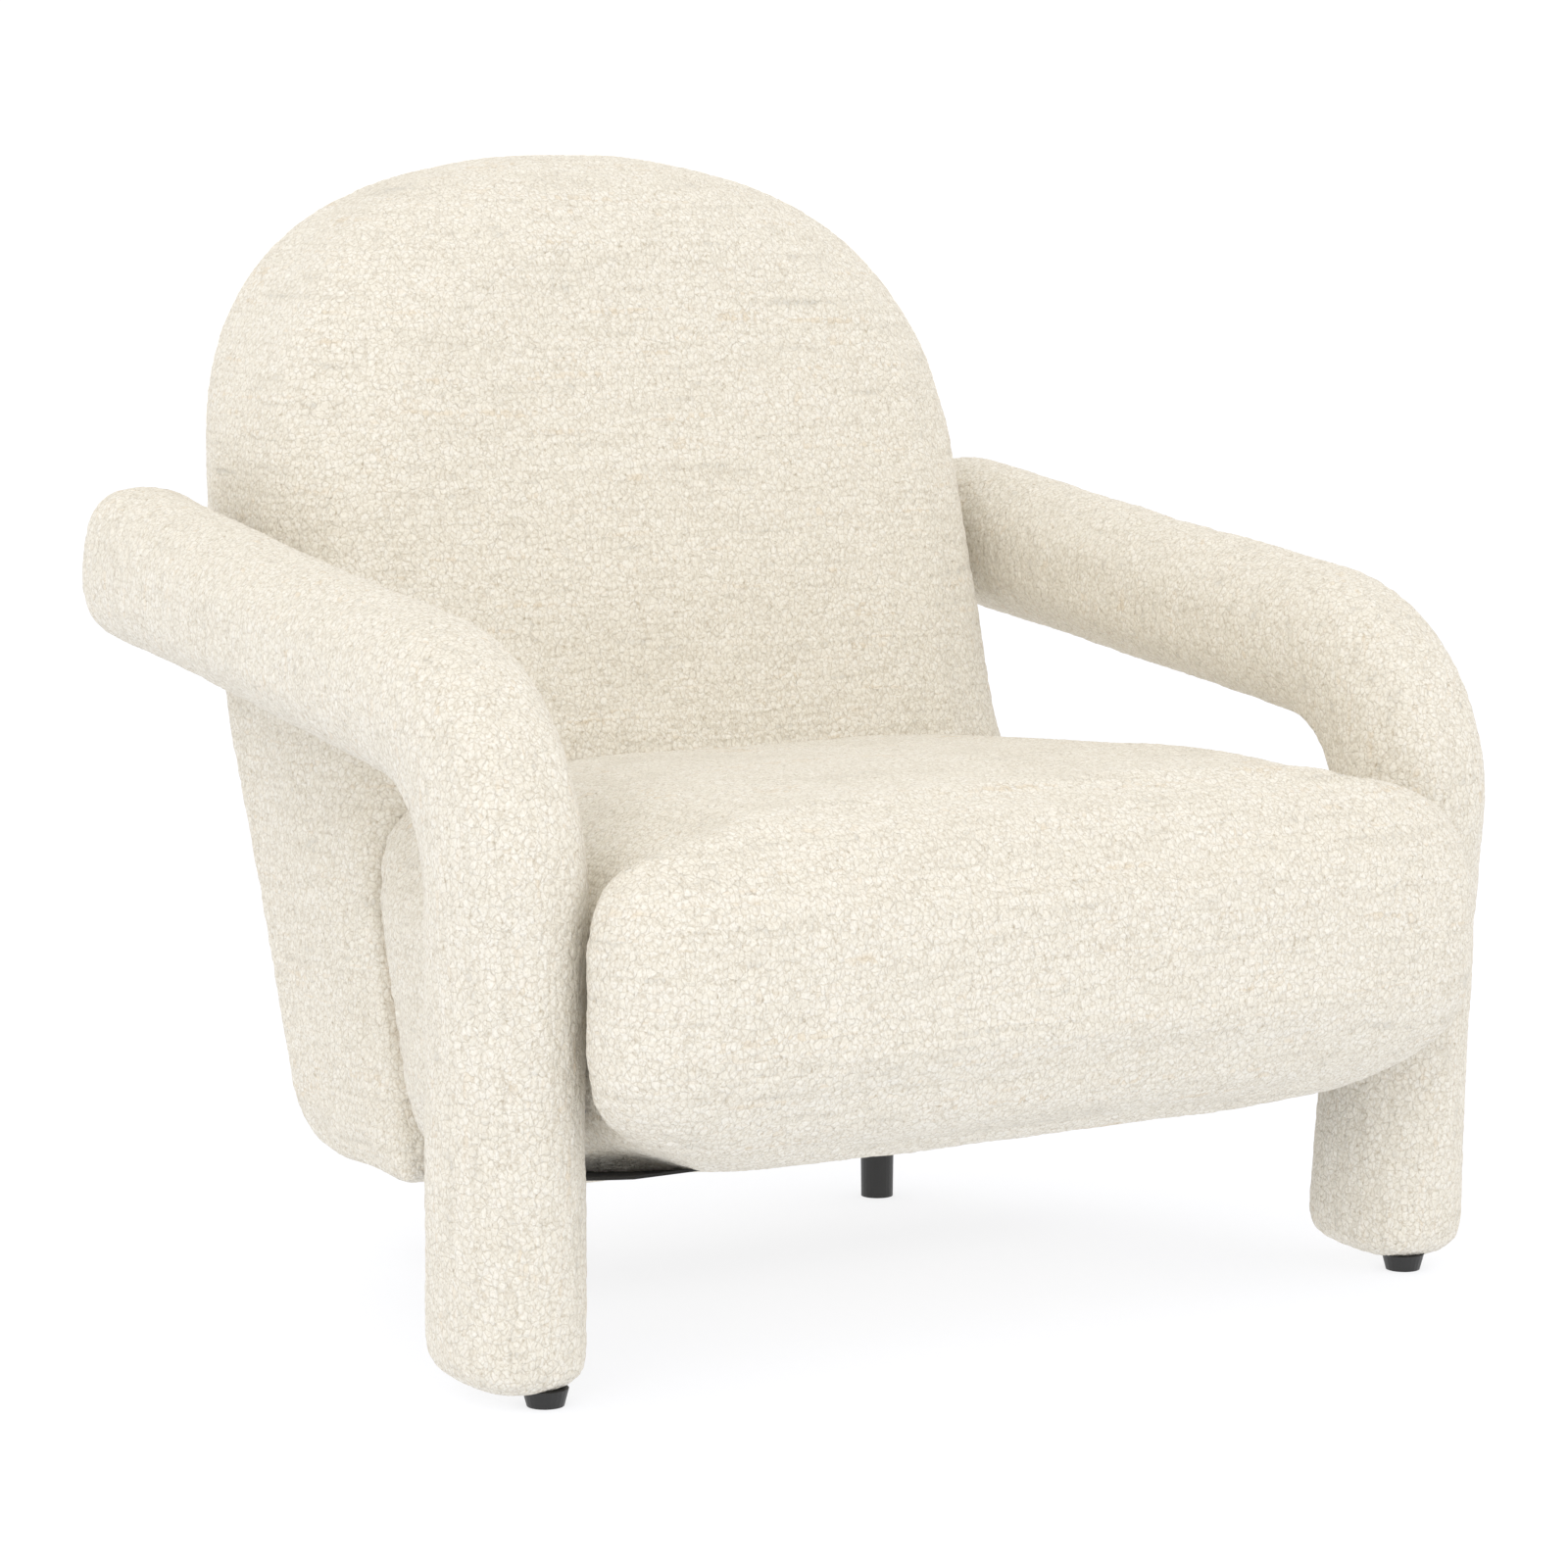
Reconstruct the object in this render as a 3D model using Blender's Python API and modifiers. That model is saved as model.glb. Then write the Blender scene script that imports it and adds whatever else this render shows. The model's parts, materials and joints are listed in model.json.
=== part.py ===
"""Upholstered lounge chair: arched back, bullnose seat and padded tubes that are arm and front leg in one.

Units are metres, +Z is up, the chair faces -Y and stands on Z = 0. The soft parts are plain closed solids.
"""

import math

import bmesh
import bpy
from mathutils import Matrix, Vector

# Front glides, and where the other parts stand behind them
GLIDE_SPACING = 0.750
GLIDE_Y = -0.3015
GLIDE_RADIUS = 0.016
GLIDE_HEIGHT = 0.012

# Arm-and-leg tubes: a path in a plane parallel to YZ, and an oval section
TUBE_X = GLIDE_SPACING / 2 + 0.010
TUBE_LEAN = 0.019
TUBE_TOE_IN = 0.024
TUBE_HALF_WIDTH = 0.049
TUBE_HALF_DEPTH = 0.061
TUBE_POWER = 2.9
TUBE_SIDES = 16
LEG_END = Vector((GLIDE_Y + 0.033, GLIDE_HEIGHT + 0.0005))
ELBOW = Vector((GLIDE_Y + 0.018, 0.452))
ARM_END = Vector((GLIDE_Y + 0.635, 0.536))
ELBOW_RADIUS = 0.121
ELBOW_STEPS = 7
ARM_END_ROUND = 0.044
ARM_END_ANGLES = (0, 30, 58, 80)
LEG_END_ROUND = 0.020
LEG_END_ANGLES = (90, 60, 30, 0)
CORE_RADIUS = 0.016
CORE_END_COVER = 0.075
END_BOARD_THICKNESS = 0.012
BOLT_RADIUS = 0.004
BOLT_CLEARANCE = 0.0005
BOLT_HEAD_RADIUS = 0.009
BOLT_HEAD_HEIGHT = 0.004
BOLT_SIDES = 12
HOLE_LENGTH = 0.120

# Seat: sections across X, lofted from the front tip to the back
SEAT_TIP_Y = GLIDE_Y - 0.112
SEAT_NOSE_DEPTH = 0.105
SEAT_NOSE_POWER = 2.3
SEAT_NOSE_SHARES = (0.0, 0.05, 0.15, 0.30, 0.50)
SEAT_NOSE_NARROWING = 0.060
SEAT_MIDDLE_Z = 0.262
SEAT_LEVEL_SHARE = 0.3
SEAT_FRONT_HALF_WIDTH = 0.377
SEAT_HALF_WIDTH = 0.335
SEAT_REAR_HALF_WIDTH = 0.315
SEAT_TAPER_SHARE = 0.2
SEAT_WING_Y = LEG_END.x - TUBE_HALF_DEPTH - 0.014
SEAT_TOP = 0.402
SEAT_TOP_REAR = 0.386
NOSE_LOW_Z = 0.160
BASE_FRONT_Z = 0.168
BASE_REAR_Z = 0.086
SEAT_SIDES = 28
SEAT_POWER = 4.6
SQUARE_POWER = 7.0
WING_DROP = 0.001
WING_STEP = 0.005
SHOULDER_DROP = 0.006

# Back: an arch outline in X and Z, lofted from its front plane to its rear
BACK_FRONT_Y = GLIDE_Y + 0.396
BACK_FRONT_LEAN = math.tan(math.radians(15.5))
BACK_REAR_Y = GLIDE_Y + 0.689
BACK_REAR_LEAN = math.tan(math.radians(8.5))
BACK_TUCK_LEAN = math.tan(math.radians(13.5))
BACK_TUCK_Z = 0.440
BACK_FRONT_REF_Z = 0.400
BACK_REAR_REF_Z = 0.600
BACK_TOP = 0.836
BACK_HALF_WIDTH = 0.313
BACK_ARCH_HEIGHT = 0.275
BACK_ARCH_POWER = 2.6
BACK_EDGE = 0.062
BACK_EDGE_ANGLES = (90, 55, 22)
BACK_SIDE_LEVELS = (0.165, 0.215, 0.265, 0.310, 0.360, 0.430, 0.500)
BACK_ARCH_STEPS = 14
BACK_FRONT_CROWN = ((0.20, 0.010), (0.11, 0.006))
BACK_REAR_CROWN = ((0.11, 0.004), (0.20, 0.006))
BACK_CORNER_RADIUS = 0.052

# Frame, springs and feet
COVER = 0.0025
GAP = 0.0005
BAY_HALF_WIDTH = 0.292
BAY_TOP = 0.290
BAY_FRONT_Y = GLIDE_Y - 0.020
REAR_BAY_TOP = 0.2705
RAIL_LOW = 0.175
RAIL_THICKNESS = 0.026
RAIL_HEIGHT = 0.091
SIDE_RAIL_REAR_Y = GLIDE_Y + 0.500
BLOCK_SIZE = 0.060
BOLT_Y = GLIDE_Y + 0.0272
BOLT_HEIGHTS = (0.193, 0.249)
FRAME_Y = GLIDE_Y + 0.520
FRAME_LEAN = math.radians(12.0)
FRAME_THICKNESS = 0.026
POST_WIDTH = 0.048
POST_X = 0.2405
POST_FOOT_Z = 0.156
POST_TOP_Z = 0.560
CROSS_RAIL_HEIGHTS = {"lower": 0.215, "upper": 0.500}
BOARD_TOP = 0.752
BOARD_ARCH = 0.17
BOARD_STEPS = 10
ARCH_BOARD_BEND = 0.8
FOOT_BLOCK_DEPTH = 0.046
FOOT_BLOCK_WIDTH = 0.060
FOOT_BLOCK_LOW = 0.175
FOOT_BLOCK_HIGH = 0.225
SPRING_COUNT = 4
SPRING_SPACING = 0.130
SPRING_WIRE = 0.0018
SPRING_PITCH = 0.030
SPRING_HALF_WIDTH = 0.022
SPRING_ARCH = 0.010
STRAP_COUNT = 3
STRAP_WIDTH = 0.050
STRAP_LOW_Z = 0.345
STRAP_PITCH = 0.090
DUST_COVER_THICKNESS = 0.003
DUST_COVER_RECESS = 0.0065
DUST_COVER_CLEARANCE = 0.003
REAR_FOOT_X = 0.190
REAR_FOOT_Y = GLIDE_Y + 0.436
REAR_FOOT_RADIUS = 0.0150

PARTS = None
CUTTERS = None


def clear_scene():
    for old in list(bpy.data.objects):
        bpy.data.objects.remove(old, do_unlink=True)


def collection(name, hidden=False):
    made = bpy.data.collections.new(name)
    bpy.context.scene.collection.children.link(made)
    made.hide_render = hidden
    return made


def material(name, colour, roughness, metallic=0.0):
    made = bpy.data.materials.new(name)
    made.use_nodes = True
    shader = made.node_tree.nodes["Principled BSDF"]
    shader.inputs["Base Color"].default_value = (*colour, 1.0)
    shader.inputs["Roughness"].default_value = roughness
    shader.inputs["Metallic"].default_value = metallic
    return made


def add_part(name, mesh, look, smooth=True):
    made = bpy.data.objects.new(name, mesh)
    PARTS.objects.link(made)
    mesh.materials.append(look)
    if smooth:
        mesh.shade_smooth()
        mesh.set_sharp_from_angle(angle=math.radians(40))
    return made


def add_cutter(name, mesh):
    made = bpy.data.objects.new(name, mesh)
    CUTTERS.objects.link(made)
    made.hide_render = True
    made.display_type = "WIRE"
    return made


def cut(target, cutter):
    boolean = target.modifiers.new(cutter.name, "BOOLEAN")
    boolean.operation = "DIFFERENCE"
    boolean.solver = "EXACT"
    boolean.object = cutter


def box_mesh(name, low, high):
    """A box between two corners."""
    shape = bmesh.new()
    bmesh.ops.create_cube(shape, size=1.0)
    size = [b - a for a, b in zip(low, high)]
    centre = [(a + b) / 2 for a, b in zip(low, high)]
    bmesh.ops.scale(shape, vec=size, verts=shape.verts)
    bmesh.ops.translate(shape, vec=centre, verts=shape.verts)
    mesh = bpy.data.meshes.new(name)
    shape.to_mesh(mesh)
    shape.free()
    return mesh


def rail(name, low, high, look, bevel=0.002):
    """A timber with softened edges."""
    made = add_part(name, box_mesh(name, low, high), look, smooth=False)
    edge = made.modifiers.new("edge", "BEVEL")
    edge.width = bevel
    edge.segments = 1
    return made


def strip_cap(shape, row):
    """Closes a ring that mirrors left to right with a face between each pair of levels."""
    last = len(row) - 1
    for i in range(last // 2):
        corners = (row[i], row[i + 1], row[last - i - 1], row[last - i])
        shape.faces.new(tuple(dict.fromkeys(corners)))


def loft_mesh(name, rings, cap_start=True, cap_end=True, strips=False):
    """A skin through closed rings of points, with flat or stripped caps where asked for."""
    shape = bmesh.new()
    rows = [[shape.verts.new(point) for point in ring] for ring in rings]
    count = len(rows[0])
    for row, following in zip(rows, rows[1:]):
        for i in range(count):
            j = (i + 1) % count
            shape.faces.new((row[i], row[j], following[j]))
            shape.faces.new((row[i], following[j], following[i]))
    for row, capped in ((rows[0], cap_start), (rows[-1], cap_end)):
        if capped and strips:
            strip_cap(shape, row)
        elif capped:
            shape.faces.new(row)
    bmesh.ops.recalc_face_normals(shape, faces=shape.faces)
    mesh = bpy.data.meshes.new(name)
    shape.to_mesh(mesh)
    shape.free()
    return mesh


def curve_points(points):
    """A straight-segment curve through the points."""
    data = bpy.data.curves.new("path", "CURVE")
    data.dimensions = "3D"
    spline = data.splines.new("POLY")
    spline.points.add(len(points) - 1)
    for place, point in zip(spline.points, points):
        place.co = (*point, 1.0)
    return data


def tube_mesh(name, points, radius, resolution=2):
    """A closed round bar along the points, as a mesh."""
    data = curve_points(points)
    data.bevel_depth = radius
    data.bevel_resolution = resolution
    data.use_fill_caps = True
    holder = bpy.data.objects.new(name, data)
    CUTTERS.objects.link(holder)
    holder.hide_render = True
    bpy.context.view_layer.update()
    graph = bpy.context.evaluated_depsgraph_get()
    mesh = bpy.data.meshes.new_from_object(holder.evaluated_get(graph))
    bpy.data.objects.remove(holder, do_unlink=True)
    shape = bmesh.new()
    shape.from_mesh(mesh)
    bmesh.ops.remove_doubles(shape, verts=shape.verts, dist=1e-6)
    bmesh.ops.recalc_face_normals(shape, faces=shape.faces)
    shape.to_mesh(mesh)
    shape.free()
    mesh.name = name
    return mesh


def oval(half_width, half_height, power, sides):
    """Points of a superellipse: power 2 is an ellipse, and a high power is a rounded box."""
    points = []
    for i in range(sides):
        angle = 2 * math.pi * (i + 0.5) / sides
        c, s = math.cos(angle), math.sin(angle)
        u = math.copysign(abs(c) ** (2 / power), c) * half_width
        v = math.copysign(abs(s) ** (2 / power), s) * half_height
        points.append((u, v))
    return points


def smooth_step(low, high, value):
    t = min(max((value - low) / (high - low), 0.0), 1.0)
    return t * t * (3 - 2 * t)


# ---------------------------------------------------------------- arm-and-leg tubes


def tube_stations(end_trim=0.0):
    """(centre, direction) along the tube in its own plane, from the leg's end to the arm's rear end."""
    down = (LEG_END - ELBOW).normalized()
    back = (ARM_END - ELBOW).normalized()
    half_angle = down.angle(back) / 2
    reach = ELBOW_RADIUS / math.tan(half_angle)
    centre = ELBOW + (down + back).normalized() * (ELBOW_RADIUS / math.sin(half_angle))
    start = ELBOW + down * reach
    swing = math.pi - 2 * half_angle
    spoke = start - centre
    stations = [(LEG_END - down * end_trim, -down)]
    for i in range(ELBOW_STEPS + 1):
        turn = Matrix.Rotation(-swing * i / ELBOW_STEPS, 2)
        stations.append((centre + turn @ spoke, turn @ -down))
    stations.append((ARM_END - back * end_trim, back))
    return stations


def tube_x(side, y, z):
    """The tube leans outwards as it rises and inwards as the arm runs back."""
    return side * (TUBE_X + TUBE_LEAN * z - TUBE_TOE_IN * max(y - ELBOW.x, 0.0))


def tube_ring(side, centre, direction, inset):
    normal = Vector((-direction.y, direction.x))
    ring = []
    for u, v in oval(TUBE_HALF_WIDTH - inset, TUBE_HALF_DEPTH - inset, TUBE_POWER, TUBE_SIDES):
        place = centre + normal * v
        ring.append((tube_x(side, centre.x, centre.y) + u, place.x, place.y))
    return ring


def tube_rings(side, inset, round_leg_end):
    """Rings of the padded tube, with its rear end rounded and, on the cover, its leg end too."""
    stations = tube_stations(inset)
    rings = []
    upward = Vector((0.0, 1.0))
    if round_leg_end:
        for angle in LEG_END_ANGLES:
            turn = math.radians(angle)
            rise = LEG_END_ROUND * (1 - math.sin(turn))
            shrink = LEG_END_ROUND * (1 - math.cos(turn))
            rings.append(tube_ring(side, LEG_END + upward * rise, upward, inset + shrink))
    else:
        lift = END_BOARD_THICKNESS + 2 * GAP
        rings.append(tube_ring(side, LEG_END + upward * lift, upward, inset + 0.002))
        rings.append(tube_ring(side, LEG_END + upward * LEG_END_ROUND, upward, inset))
    rings += [tube_ring(side, c, d, inset) for c, d in stations[1:-1]]
    end, backward = stations[-1]
    for angle in ARM_END_ANGLES:
        turn = math.radians(angle)
        retreat = ARM_END_ROUND * (1 - math.sin(turn))
        shrink = ARM_END_ROUND * (1 - math.cos(turn))
        rings.append(tube_ring(side, end - backward * retreat, backward, inset + shrink))
    return rings


def core_points(side, low_z, high_y):
    """The bent core's centre line, from above the leg's end board to inside the arm's end."""
    stations = tube_stations()
    flat = [c for c, _ in stations]
    foot = flat[0].lerp(flat[1], (low_z - flat[0].y) / (flat[1].y - flat[0].y))
    tip = flat[-2].lerp(flat[-1], (high_y - flat[-2].x) / (flat[-1].x - flat[-2].x))
    flat = [foot] + flat[1:-1] + [tip]
    return [(tube_x(side, p.x, p.y), p.x, p.y) for p in flat]


def build_arm(side, word, looks):
    cover_mesh = loft_mesh(f"arm_cover_{word}", tube_rings(side, 0.0, True), cap_start=False)
    cover = add_part(f"arm_cover_{word}", cover_mesh, looks["fabric"])
    wall = cover.modifiers.new("wall", "SOLIDIFY")
    wall.thickness = COVER
    wall.offset = -1.0

    inset = COVER + 2 * GAP
    foam_mesh = loft_mesh(f"arm_foam_{word}", tube_rings(side, inset, False))
    foam = add_part(f"arm_foam_{word}", foam_mesh, looks["foam"])
    board_top = LEG_END.y + GAP + END_BOARD_THICKNESS
    core_end = ARM_END.x - CORE_END_COVER
    bore = core_points(side, board_top - 0.010, core_end + GAP)
    cut(foam, add_cutter(f"core_bore_{word}", tube_mesh("bore", bore, CORE_RADIUS + GAP)))
    core = core_points(side, board_top + 4 * GAP, core_end)
    core_mesh = tube_mesh(f"arm_core_{word}", core, CORE_RADIUS)
    add_part(f"arm_core_{word}", core_mesh, looks["steel"])

    trim = LEG_END_ROUND + 3 * GAP
    outline = oval(TUBE_HALF_WIDTH - trim, TUBE_HALF_DEPTH - trim, TUBE_POWER, TUBE_SIDES)
    low = LEG_END.y + GAP
    rings = [
        [(tube_x(side, LEG_END.x, low) + u, LEG_END.x - v, z) for u, v in outline]
        for z in (low, low + END_BOARD_THICKNESS)
    ]
    board = loft_mesh(f"leg_end_board_{word}", rings)
    add_part(f"leg_end_board_{word}", board, looks["timber"], smooth=False)
    glide = turned_mesh(f"front_glide_{word}", GLIDE_RADIUS, GLIDE_HEIGHT, 0.8)
    made = add_part(f"front_glide_{word}", glide, looks["black"])
    made.location = (side * GLIDE_SPACING / 2, GLIDE_Y, 0.0)


def turned_mesh(name, radius, height, foot_share):
    """A short round foot whose lower end is a little narrower."""
    shape = bmesh.new()
    bmesh.ops.create_cone(
        shape, cap_ends=True, segments=24, radius1=radius * foot_share, radius2=radius, depth=height
    )
    bmesh.ops.translate(shape, vec=(0, 0, height / 2), verts=shape.verts)
    mesh = bpy.data.meshes.new(name)
    shape.to_mesh(mesh)
    shape.free()
    return mesh


# ---------------------------------------------------------------- seat


def back_front_y(z):
    return BACK_FRONT_Y + (z - BACK_FRONT_REF_Z) * BACK_FRONT_LEAN


def base_z(y):
    """The underside falls from the seat's tip to the back, and is level below the back."""
    share = (y - SEAT_TIP_Y) / (back_front_y(BASE_REAR_Z) - SEAT_TIP_Y)
    return BASE_FRONT_Z + (BASE_REAR_Z - BASE_FRONT_Z) * min(share, 1.0)


def seat_ring(y, half_width, low, high, inset, low_power=SEAT_POWER, slanted=False):
    """One rounded section of the seat; a slanted one follows the back's front plane."""
    middle, half_height = (low + high) / 2, (high - low) / 2 - inset
    ring = []
    upper = oval(half_width - inset, half_height, SEAT_POWER, SEAT_SIDES)[: SEAT_SIDES // 2]
    lower = oval(half_width - inset, half_height, low_power, SEAT_SIDES)[SEAT_SIDES // 2 :]
    for u, v in upper + lower:
        z = middle + v
        ring.append((u, back_front_y(z) - inset - 3 * GAP if slanted else y, z))
    return ring


def seat_rings(inset):
    rings = []
    below, above = SEAT_MIDDLE_Z - NOSE_LOW_Z, SEAT_TOP - SEAT_MIDDLE_Z
    for share in SEAT_NOSE_SHARES:
        bulge = max((1 - (1 - share) ** SEAT_NOSE_POWER) ** (1 / SEAT_NOSE_POWER), 0.12)
        y = SEAT_TIP_Y + inset + share * SEAT_NOSE_DEPTH
        low = SEAT_MIDDLE_Z - below * max(bulge, 0.3) ** 0.8
        high = SEAT_MIDDLE_Z + above * bulge
        width = SEAT_FRONT_HALF_WIDTH - SEAT_NOSE_NARROWING * (1 - bulge)
        rings.append(seat_ring(y, width, low, high, inset))
    wing = SEAT_WING_Y - inset
    high = SEAT_TOP - SHOULDER_DROP
    wing_low = base_z(wing) - WING_DROP
    rings.append(seat_ring(wing, SEAT_FRONT_HALF_WIDTH - SHOULDER_DROP, wing_low, high, inset))
    rings.append(seat_ring(wing + WING_STEP, SEAT_HALF_WIDTH, base_z(wing), high, inset, SQUARE_POWER))
    for share in (0.2, 0.5, 0.8):
        y = wing + share * (BACK_FRONT_Y - 0.03 - wing)
        fall = max(share - SEAT_LEVEL_SHARE, 0.0) / (1 - SEAT_LEVEL_SHARE)
        high = SEAT_TOP + (SEAT_TOP_REAR - SEAT_TOP) * fall
        taper = (share - SEAT_TAPER_SHARE) / (1 - SEAT_TAPER_SHARE)
        half = SEAT_HALF_WIDTH + (SEAT_REAR_HALF_WIDTH - SEAT_HALF_WIDTH) * taper
        rings.append(seat_ring(y, half, base_z(y), high, inset, SQUARE_POWER))
    half = SEAT_REAR_HALF_WIDTH
    rings.append(seat_ring(0.0, half, BASE_REAR_Z, SEAT_TOP_REAR, inset, SQUARE_POWER, slanted=True))
    return rings


def bay_mesh():
    """The space under the seat foam for the frame and springs, open below."""
    low = (-BAY_HALF_WIDTH, BAY_FRONT_Y, BASE_REAR_Z - 0.05)
    high = (BAY_HALF_WIDTH, BACK_FRONT_Y + 0.05, BAY_TOP)
    return box_mesh("seat_bay", low, high)


def build_seat(looks):
    bay = add_cutter("seat_bay", bay_mesh())
    foam = add_part("seat_foam", loft_mesh("seat_foam", seat_rings(COVER + 4 * GAP)), looks["foam"])
    cut(foam, bay)
    cover = add_part("seat_cover", loft_mesh("seat_cover", seat_rings(0.0)), looks["fabric"])
    hollow = add_cutter("seat_hollow", loft_mesh("seat_hollow", seat_rings(COVER)))
    cut(cover, hollow)
    cut(cover, bay)


# ---------------------------------------------------------------- back


def back_rear_y(z, inset):
    """The rear face: a lean that tucks further in below the arms and turns in with a radius at the base."""
    straight = BACK_REAR_Y + (z - BACK_REAR_REF_Z) * BACK_REAR_LEAN - inset
    straight -= max(BACK_TUCK_Z - z, 0.0) * BACK_TUCK_LEAN
    drop = max(BASE_REAR_Z + BACK_CORNER_RADIUS - z, 0.0)
    radius = BACK_CORNER_RADIUS - inset
    return straight - (radius - math.sqrt(max(radius**2 - drop**2, 0.0)))


def back_outline(inset, bottom_inset):
    """(x, z) round the arch, from the right bottom corner over the top to the left."""
    arch_start = BACK_TOP - BACK_ARCH_HEIGHT
    points = []
    radius = BACK_CORNER_RADIUS - bottom_inset
    corner = BASE_REAR_Z + BACK_CORNER_RADIUS
    levels = [corner - radius * math.sin(math.radians(angle)) for angle in (90, 70, 50, 30, 10)]
    levels += BACK_SIDE_LEVELS
    for z in levels:
        points.append((BACK_HALF_WIDTH - inset, z))
    for i in range(BACK_ARCH_STEPS + 1):
        angle = math.pi * i / BACK_ARCH_STEPS
        c, s = math.cos(angle), math.sin(angle)
        x = math.copysign(abs(c) ** (2 / BACK_ARCH_POWER), c) * (BACK_HALF_WIDTH - inset)
        z = arch_start + s ** (2 / BACK_ARCH_POWER) * (BACK_ARCH_HEIGHT - inset)
        points.append((x, z))
    points += [(-x, z) for x, z in reversed(points[: len(levels)])]
    return points


def back_ring(edge, depth, from_rear, inset):
    """A ring whose points stand edge inside the outline and depth behind one face."""
    ring = []
    outlines = zip(back_outline(edge + inset, inset), back_outline(inset, inset))
    for (x, z), (full_x, _) in outlines:
        softness = 1.0 if from_rear else 0.12 + 0.88 * smooth_step(0.27, 0.40, z)
        crown = 0.05 + 0.95 * smooth_step(0.40, 0.52, z) if depth < 0 else softness
        x = full_x + (x - full_x) * softness
        if from_rear:
            y = back_rear_y(z, inset) - depth
        else:
            y = back_front_y(z) + inset + depth * crown
        ring.append((x, y, z))
    return ring


def back_rings(inset):
    """Rings over the front face, round the front edge, the side, the rear edge and the rear face."""
    rings = [back_ring(edge, -crown, False, inset) for edge, crown in BACK_FRONT_CROWN]
    for from_rear, angles in ((False, BACK_EDGE_ANGLES), (True, BACK_EDGE_ANGLES[::-1])):
        for angle in angles:
            turn = math.radians(angle)
            edge, depth = BACK_EDGE * (1 - math.cos(turn)), BACK_EDGE * (1 - math.sin(turn))
            rings.append(back_ring(edge, depth, from_rear, inset))
    rings += [back_ring(edge, -crown, True, inset) for edge, crown in BACK_REAR_CROWN]
    return rings


def back_loft(name, inset):
    return loft_mesh(name, back_rings(inset), strips=True)


def frame_point(x, offset, z):
    """A point of the leaning back frame: offset is across its thickness."""
    y = FRAME_Y + (z - BACK_FRONT_REF_Z) * math.tan(FRAME_LEAN) + offset
    return (x, y, z)


def leaning_board(name, x_range, offsets, z_range, look):
    """A board that leans with the back frame."""
    corners = (
        (x_range[0], offsets[0]),
        (x_range[1], offsets[0]),
        (x_range[1], offsets[1]),
        (x_range[0], offsets[1]),
    )
    rings = [[frame_point(x, offset, z) for x, offset in corners] for z in z_range]
    return add_part(name, loft_mesh(name, rings), look, smooth=False)


def arch_board_rings(half_width, bottom, top, arch, offsets):
    """The two outlines of a board with an arched top, one at each face."""
    outline = [(half_width, bottom)]
    for i in range(BOARD_STEPS + 1):
        angle = math.pi * i / BOARD_STEPS
        c, s = math.cos(angle), math.sin(angle)
        x = math.copysign(abs(c) ** ARCH_BOARD_BEND, c) * half_width
        outline.append((x, top - arch + arch * s**ARCH_BOARD_BEND))
    outline.append((-half_width, bottom))
    return [[frame_point(x, offset, z) for x, z in outline] for offset in offsets]


def foot_hole_mesh(name, side):
    mesh = turned_mesh(name, REAR_FOOT_RADIUS + 0.001, FOOT_BLOCK_LOW, 1.0)
    mesh.transform(Matrix.Translation((side * REAR_FOOT_X, REAR_FOOT_Y, 0.0)))
    return mesh


def build_back(looks):
    half = FRAME_THICKNESS / 2
    slot_half = POST_X + POST_WIDTH / 2 + 0.004
    slot = arch_board_rings(
        slot_half, BASE_REAR_Z - 0.05, BOARD_TOP + 0.008, BOARD_ARCH + 0.01, (-half - 0.004, half + 0.002)
    )
    slot_cutter = add_cutter("frame_slot", loft_mesh("frame_slot", slot))
    bay_low = (-BAY_HALF_WIDTH, BACK_FRONT_Y - 0.20, BASE_REAR_Z - 0.05)
    bay_high = (BAY_HALF_WIDTH, SIDE_RAIL_REAR_Y + 0.003, REAR_BAY_TOP)
    bay = add_cutter("rear_bay", box_mesh("rear_bay", bay_low, bay_high))
    foam = add_part("back_foam", back_loft("back_foam", COVER + 2 * GAP), looks["foam"])
    cover = add_part("back_cover", back_loft("back_cover", 0.0), looks["fabric"])
    cut(cover, add_cutter("back_hollow", back_loft("back_hollow", COVER)))
    for piece in (foam, cover):
        cut(piece, bay)
    cut(foam, slot_cutter)


def build_back_frame(looks):
    timber = looks["timber"]
    half = FRAME_THICKNESS / 2
    thickness = (-half, half)
    for side, word in ((-1, "left"), (1, "right")):
        ends = (side * POST_X - POST_WIDTH / 2, side * POST_X + POST_WIDTH / 2)
        leaning_board(f"back_post_{word}", ends, thickness, (POST_FOOT_Z, POST_TOP_Z), timber)
    outer = POST_X + POST_WIDTH / 2
    top_rings = arch_board_rings(outer, POST_TOP_Z + GAP, BOARD_TOP, BOARD_ARCH, thickness)
    add_part("back_top_board", loft_mesh("back_top_board", top_rings), timber, smooth=False)
    inner = POST_X - POST_WIDTH / 2 - GAP
    for word, z in CROSS_RAIL_HEIGHTS.items():
        heights = (z - RAIL_THICKNESS, z + RAIL_THICKNESS)
        leaning_board(f"back_cross_rail_{word}", (-inner, inner), thickness, heights, timber)
    strap_offsets = (-half - 0.0025, -half - GAP)
    for index in range(STRAP_COUNT):
        z = STRAP_LOW_Z + STRAP_PITCH * index
        heights = (z - STRAP_WIDTH / 2, z + STRAP_WIDTH / 2)
        name = f"back_strap_{index + 1}"
        leaning_board(name, (-outer + 0.004, outer - 0.004), strap_offsets, heights, looks["webbing"])


# ---------------------------------------------------------------- base frame, springs and feet


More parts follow.
